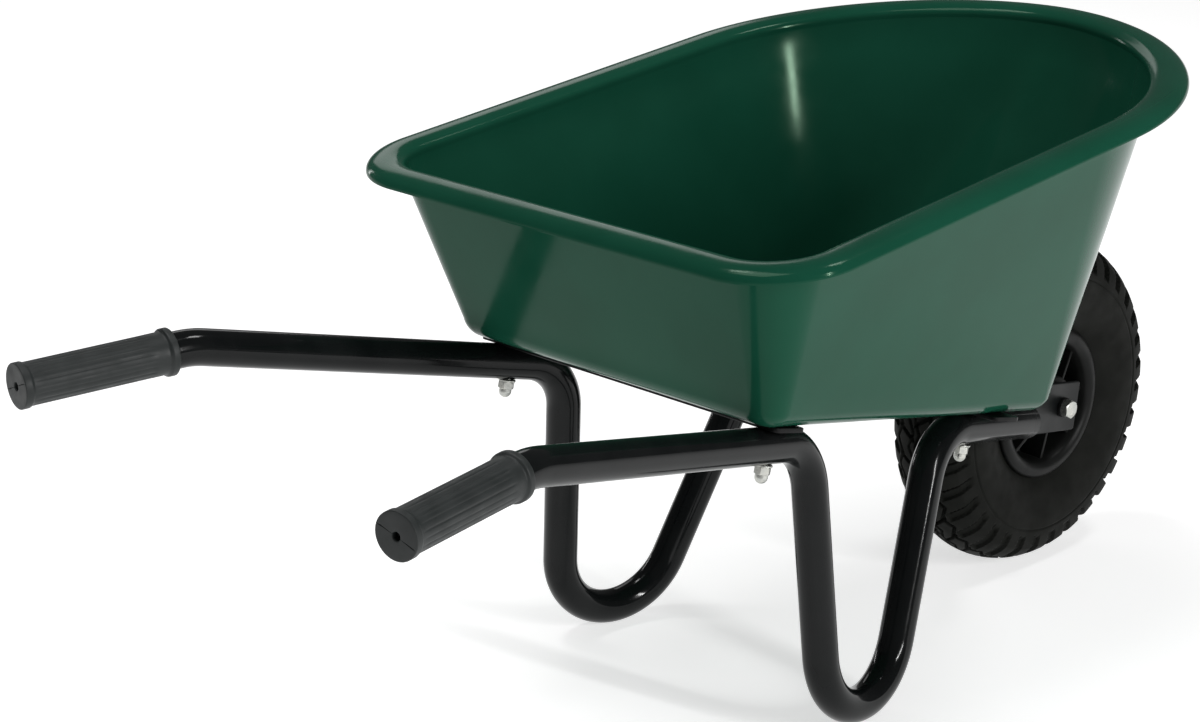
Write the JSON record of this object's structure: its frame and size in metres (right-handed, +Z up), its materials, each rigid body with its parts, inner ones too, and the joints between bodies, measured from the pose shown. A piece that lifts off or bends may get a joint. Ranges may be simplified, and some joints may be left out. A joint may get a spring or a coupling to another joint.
{
  "type": "wheelbarrow",
  "caption": "Small garden wheelbarrow: moulded plastic tray on two bent steel tubes that form handles and leg loops, with a pneumatic front wheel.",
  "frame": {"origin": "on the ground, below the middle of the overall length and width", "axes": "+X forward towards the wheel along the longest extent, +Y to the left across the mirror plane, +Z up"},
  "size_m": [0.9338, 0.4218, 0.4292],
  "materials": {
    "tray_green": "gloss, injection moulded",
    "frame_black": "gloss black paint",
    "grip_rubber": "matte, ribbed",
    "strip_black": "satin black paint",
    "zinc": "bright zinc plate",
    "collar_black": "satin",
    "sleeve_steel": "plain drawn steel",
    "tyre_rubber": "matte rubber with block tread",
    "tube_rubber": "matte",
    "valve_brass": "plain",
    "rim_black": "satin moulded",
    "screw_black": "black",
    "bush_nylon": "natural nylon"
  },
  "bodies": {
    "frame": {"tray": "tray_green", "left_frame_tube": "frame_black", "right_frame_tube": "frame_black", "left_grip": "grip_rubber", "right_grip": "grip_rubber", "rear_cross_strip": "strip_black", "front_cross_strip": "strip_black", "tray_bolts": "zinc", "tray_bolt_washers": "zinc", "nut_washers": "zinc", "tray_nuts": "zinc", "axle_bolt": "zinc", "axle_nut": "zinc", "axle_collars": "collar_black", "axle_washers": "zinc", "axle_sleeve": "sleeve_steel"},
    "wheel": {"tyre": "tyre_rubber", "inner_tube": "tube_rubber", "valve_stem": "valve_brass", "valve_cap": "rim_black", "rim_half_left": "rim_black", "rim_half_right": "rim_black", "rim_screws": "screw_black", "hub_bushes": "bush_nylon"}
  },
  "joints": [
    {"name": "wheel_spin", "type": "hinge", "parent": "frame", "child": "wheel", "pos_m": [0.33688, 0, 0.13], "axis": [0, 1, 0], "continuous": true}
  ]
}
